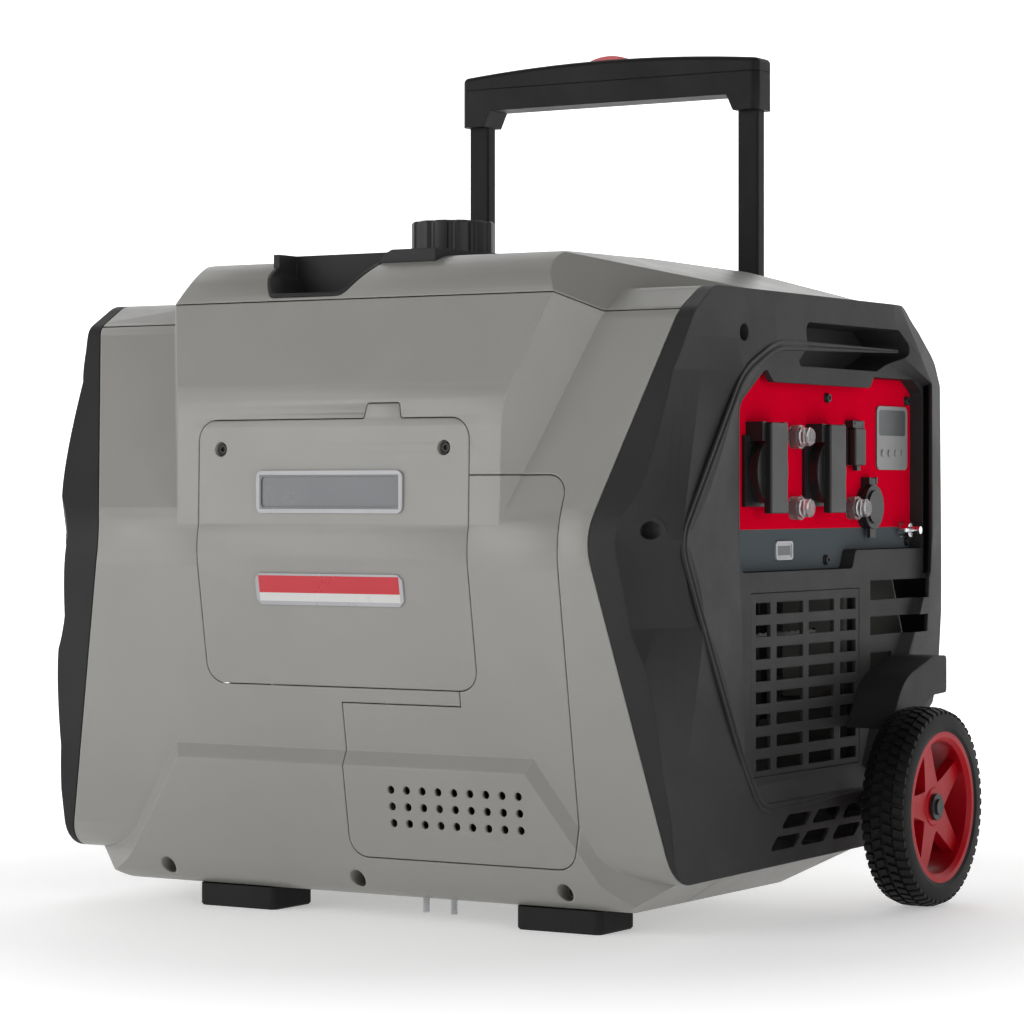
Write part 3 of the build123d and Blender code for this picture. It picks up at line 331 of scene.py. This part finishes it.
# ------------------------------------------------------------------ mesh helpers
def mesh_object(name, verts, faces, slot_name, body, smooth_angle=35):
    """Mesh from millimetre points, dressed and riding on a body."""
    mesh = bpy.data.meshes.new(name)
    mesh.from_pydata([tuple(c * MM for c in v) for v in verts], [], faces)
    work = bmesh.new()
    work.from_mesh(mesh)
    bmesh.ops.remove_doubles(work, verts=work.verts, dist=1e-6)
    bmesh.ops.recalc_face_normals(work, faces=work.faces)
    for edge in work.edges:
        edge.smooth = edge.calc_face_angle(0) < math.radians(smooth_angle)
    for face in work.faces:
        face.smooth = True
    work.to_mesh(mesh)
    work.free()
    obj = bpy.data.objects.new(name, mesh)
    bpy.context.scene.collection.objects.link(obj)
    dress(obj, slot_name)
    if body:
        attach(obj, body)
    return obj


def ring_faces(rings, around, loop=False):
    """Faces between neighbouring rings of points, with end caps or joined into a loop."""
    faces = []
    for ring in range(rings if loop else rings - 1):
        here, there = ring * around, (ring + 1) % rings * around
        for i in range(around):
            j = (i + 1) % around
            faces.append((here + i, here + j, there + j, there + i))
    if not loop:
        faces.append(tuple(range(around)))
        faces.append(tuple(range((rings - 1) * around, rings * around)))
    return faces


# ------------------------------------------------------------------ tyres
wheel_y, wheel_z = 89.5, 75.5
wheel_middle = 315.0
carcass_steps, tread_count = 96, 56


def wheel_point(side, along, radius, angle):
    """Point on a wheel: along is outwards from its middle plane."""
    return (
        side * (wheel_middle + along),
        wheel_y + radius * math.cos(angle),
        wheel_z + radius * math.sin(angle),
    )


def revolve(profile, side, steps):
    """Closed rings from (along, radius) rows about the wheel axle."""
    verts = []
    for step in range(steps):
        angle = math.tau * step / steps
        verts += [wheel_point(side, along, radius, angle) for along, radius in profile]
    return verts, ring_faces(steps, len(profile), loop=True)


tyre_profile = [
    (-17.0, 57.0), (-18.0, 60.0), (-18.0, 66.0), (-17.0, 69.5), (-14.0, 71.8), (-8.0, 73.0),
    (0.0, 73.3), (8.0, 73.0), (14.0, 71.8), (17.0, 69.5), (18.0, 66.0), (18.0, 60.0),
    (17.4, 59.2), (17.0, 57.0),
]


def tread_block(side, low, high, angle, width, lean, top=75.4, sunk=71.0):
    """One raised tread block, leaning across the tyre and lower towards its shoulder."""
    rows = []
    for along in (low, high):
        edge = 3.2 * (abs(along) / 17.0) ** 4
        for turn in (-width / 2, width / 2):
            for radius, squeeze in ((sunk - edge * 0.6, 1.0), (top - edge, 0.82)):
                rows.append(
                    wheel_point(side, along, radius, angle + turn * squeeze + lean * along)
                )
    faces = [
        (0, 1, 3, 2), (4, 6, 7, 5), (0, 4, 5, 1), (2, 3, 7, 6), (1, 5, 7, 3), (0, 2, 6, 4),
    ]
    return rows, faces


def joined(parts):
    """One list of points and faces from several."""
    verts, faces = [], []
    for part_verts, part_faces in parts:
        start = len(verts)
        verts += part_verts
        faces += [tuple(i + start for i in face) for face in part_faces]
    return verts, faces


def tyre(name, side, body, node):
    """Tyre with four rows of tread blocks, in place of the plain one."""
    parts = [revolve(tyre_profile, side, carcass_steps)]
    pitch = math.tau / tread_count
    for i in range(tread_count):
        angle = pitch * i
        parts.append(tread_block(side, 1.2, 8.0, angle, pitch * 0.7, 0.004))
        parts.append(tread_block(side, -8.0, -1.2, angle + pitch / 2, pitch * 0.7, -0.004))
        parts.append(tread_block(side, 9.6, 16.8, angle + pitch / 4, pitch * 0.72, 0.004))
        parts.append(tread_block(side, -16.8, -9.6, angle + pitch * 0.75, pitch * 0.72, -0.004))
    obj = mesh_object(name, *joined(parts), "tyre_rubber", body)
    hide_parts(node)


tyre("tyre_tread_control", 1, "control_end_wheel", "tyre_control_end")
tyre("tyre_tread_exhaust", -1, "exhaust_end_wheel", "tyre_exhaust_end")

# ------------------------------------------------------------------ ridge beads
# Ridge line of an end frame as (y, z), from the top round the service side to the bottom
ridge_line = [
    (150, 423), (-58, 421), (-109.5, 399), (-203, 279), (-169.5, 219), (-109.5, 118), (-82, 83),
    (112, 88),
]
# Section of the double bead as (across the line, outwards)
bead_section = [
    (-4.2, -0.8), (-3.6, 0.7), (-2.4, 0.9), (-1.2, 0.7), (-0.5, -0.3), (0.5, -0.3),
    (1.2, 0.7), (2.4, 0.9), (3.6, 0.7), (4.2, -0.8),
]


def softened(points, reach, steps=6):
    """Corners of an open line turned into short curves."""
    result = [Vector(points[0])]
    for before, corner, after in zip(points, points[1:], points[2:]):
        before, corner, after = Vector(before), Vector(corner), Vector(after)
        start = corner + (before - corner).normalized() * reach
        end = corner + (after - corner).normalized() * reach
        for step in range(steps + 1):
            t = step / steps
            result.append(start * (1 - t) ** 2 + corner * 2 * t * (1 - t) + end * t * t)
    result.append(Vector(points[-1]))
    return result


def ridge_bead(name, side, ridge_x):
    """Slim double bead along the ridge of an end frame, tapering away at both ends."""
    line = softened(ridge_line, 16)
    last = len(line) - 1
    verts = []
    for i, point in enumerate(line):
        way = (line[min(i + 1, last)] - line[max(i - 1, 0)]).normalized()
        normal = Vector((-way.y, way.x))
        width, fade = (0.3, 0.0) if i in (0, last) else (1.0, 1.0)
        for sideways, rise in bead_section:
            spot = point + normal * sideways * width
            verts.append((side * (ridge_x + rise * fade - 0.2), spot.x, spot.y))
    faces = ring_faces(len(line), len(bead_section))
    mesh_object(name, verts, faces, "black_frame", "root", 50)


ridge_bead("ridge_bead_control", 1, 267.0)
ridge_bead("ridge_bead_exhaust", -1, 276.5)

# ------------------------------------------------------------------ starter rope
rope_x, rope_z = 159.0, 200.0
rope_start, rope_end = 10.0, 224.0


def starter_rope():
    """Twisted rope from the recoil pulley out to its grip."""
    verts = []
    rings, around, radius = 180, 12, 1.9
    for ring in range(rings):
        y = rope_start + (rope_end - rope_start) * ring / (rings - 1)
        for i in range(around):
            angle = math.tau * i / around
            lobe = radius + 0.35 * math.cos(3 * angle - y * 0.55)
            verts.append(
                (rope_x + lobe * math.cos(angle), y, rope_z + lobe * math.sin(angle))
            )
    rope = mesh_object("starter_rope", verts, ring_faces(rings, around), "rope_fabric", None)
    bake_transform(rope)
    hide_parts("recoil_rope")


starter_rope()

# ------------------------------------------------------------------ studio
scene = bpy.context.scene
scene.view_settings.view_transform = "Standard"
scene.view_settings.look = "None"

world = bpy.data.worlds.new("studio")
scene.world = world
world.use_nodes = True
world_tree = world.node_tree
background = world_tree.nodes["Background"]
background.inputs["Color"].default_value = (1, 1, 1, 1)
direction = world_tree.nodes.new("ShaderNodeTexCoord")
height = world_tree.nodes.new("ShaderNodeSeparateXYZ")
dome = world_tree.nodes.new("ShaderNodeMapRange")
dome.inputs["From Min"].default_value = 0.1
dome.inputs["From Max"].default_value = 0.8
dome.inputs["To Min"].default_value = 0.5
dome.inputs["To Max"].default_value = 0.1
world_tree.links.new(direction.outputs["Generated"], height.inputs[0])
world_tree.links.new(height.outputs["Z"], dome.inputs["Value"])
world_tree.links.new(dome.outputs["Result"], background.inputs["Strength"])


def area_light(name, location, target, size, power):
    """Rectangular lamp turned towards a target."""
    data = bpy.data.lights.new(name, "AREA")
    data.shape = "RECTANGLE"
    data.size, data.size_y = size
    data.energy = power
    lamp = bpy.data.objects.new(name, data)
    lamp.location = location
    lamp.rotation_euler = (Vector(target) - Vector(location)).to_track_quat("-Z", "Y").to_euler()
    scene.collection.objects.link(lamp)


area_light("key", (-2.2, -3.4, 1.1), (0, 0, 0.25), (3.4, 2.0), 70)
area_light("side", (2.9, -1.4, 1.0), (0, 0, 0.25), (0.7, 1.6), 18)
area_light("top", (-0.4, 0.4, 2.6), (0, 0, 0.2), (1.4, 0.8), 4)

# Paper sweep as (distance behind the object, height): flat, then curving up into a wall
floor_verts, floor_faces = [], []
sweep_profile = [(-8.0, 0.0), (2.0, 0.0)] + [
    (2.0 + 3.0 * math.sin(a * math.pi / 32), 3.0 - 3.0 * math.cos(a * math.pi / 32))
    for a in range(1, 17)
] + [(5.0, 9.0)]
view_way = Vector((-0.5221, 0.8529, 0))
across = Vector((0.8529, 0.5221, 0))
for run, rise in sweep_profile:
    for offset in (-14.0, 14.0):
        point = view_way * run + across * offset + Vector((0, 0, rise))
        floor_verts.append(tuple(point))
for i in range(len(sweep_profile) - 1):
    floor_faces.append((2 * i, 2 * i + 1, 2 * i + 3, 2 * i + 2))
floor_mesh = bpy.data.meshes.new("studio_sweep")
floor_mesh.from_pydata(floor_verts, [], floor_faces)
for face in floor_mesh.polygons:
    face.use_smooth = True
floor = bpy.data.objects.new("studio_sweep", floor_mesh)
scene.collection.objects.link(floor)
floor_graph = Graph("studio_floor")
paper = floor_graph.mix(floor_graph.noise(30), (0.85, 0.85, 0.85), (0.87, 0.87, 0.87))
floor_graph.link(paper, floor_graph.shader.inputs["Base Color"])
floor_graph.shader.inputs["Roughness"].default_value = 0.7
distance = floor_graph.node("ShaderNodeVectorMath", operation="LENGTH")
floor_graph.link(floor_graph.place, distance.inputs[0])
glow = floor_graph.span(distance.outputs["Value"], 0.36, 0.9, 0.45, 1.1)
floor_graph.shader.inputs["Emission Color"].default_value = (1, 1, 1, 1)
floor_graph.link(glow, floor_graph.shader.inputs["Emission Strength"])
floor.data.materials.append(floor_graph.material)

# ------------------------------------------------------------------ camera
camera_data = bpy.data.cameras.new("camera")
camera_data.lens = 119.1
camera_data.sensor_width = 36
camera_data.shift_y = -0.0176
camera_data.clip_end = 60
camera = bpy.data.objects.new("camera", camera_data)
camera.location = (1.3899, -2.2622, 0.312)
camera.rotation_euler = view_way.to_track_quat("-Z", "Y").to_euler()
scene.collection.objects.link(camera)
scene.camera = camera
